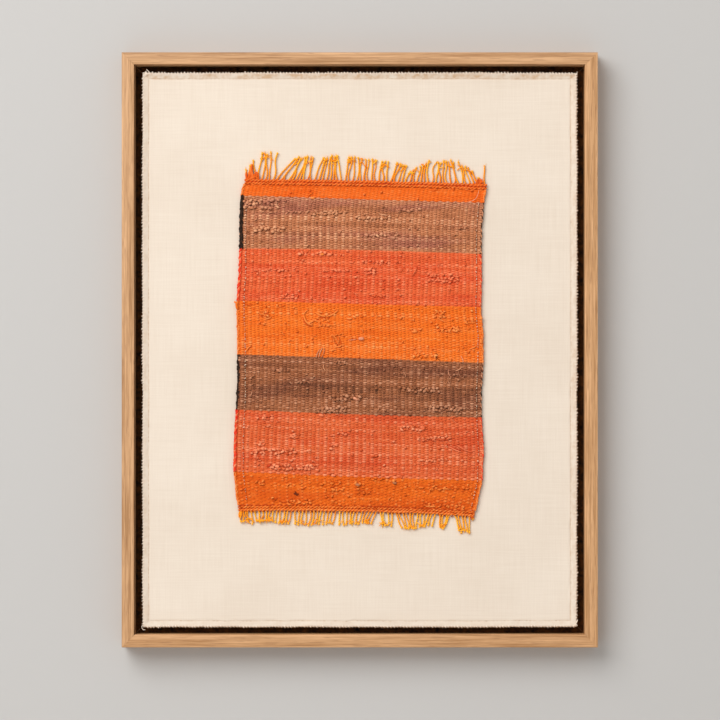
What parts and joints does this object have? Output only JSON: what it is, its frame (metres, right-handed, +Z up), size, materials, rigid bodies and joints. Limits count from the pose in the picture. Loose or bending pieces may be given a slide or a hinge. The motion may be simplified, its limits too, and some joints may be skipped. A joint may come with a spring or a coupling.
{
  "type": "framed kilim fragment with its oak float frame",
  "caption": "Small striped flat-woven kilim piece with fringed ends, stitched to a hemmed cream cloth that floats inside a plain oak frame for hanging on a wall.",
  "frame": {"origin": "middle of the top rail's back face, where the frame meets the wall", "axes": "+Z up along the frame's long side, +Y out of the back into the wall, so the front faces -Y, and +X to the viewer's right"},
  "size_m": [0.4, 0.025, 0.5],
  "materials": {
    "oak": "oiled oak with fine straight grain",
    "dark_board": "dark stained matte board",
    "cream_cloth": "plain cream cotton cloth",
    "striped_wool": "orange, brown and red striped wool flat weave",
    "warp_yarn": "golden orange plied warp yarn"
  },
  "bodies": {
    "root": {"rail_top": "oak", "rail_right": "oak", "rail_bottom": "oak", "rail_left": "oak", "mount_board": "dark_board", "mount_cloth": "cream_cloth", "kilim": "striped_wool", "fringe_top": "warp_yarn", "fringe_bottom": "warp_yarn"}
  },
  "joints": []
}
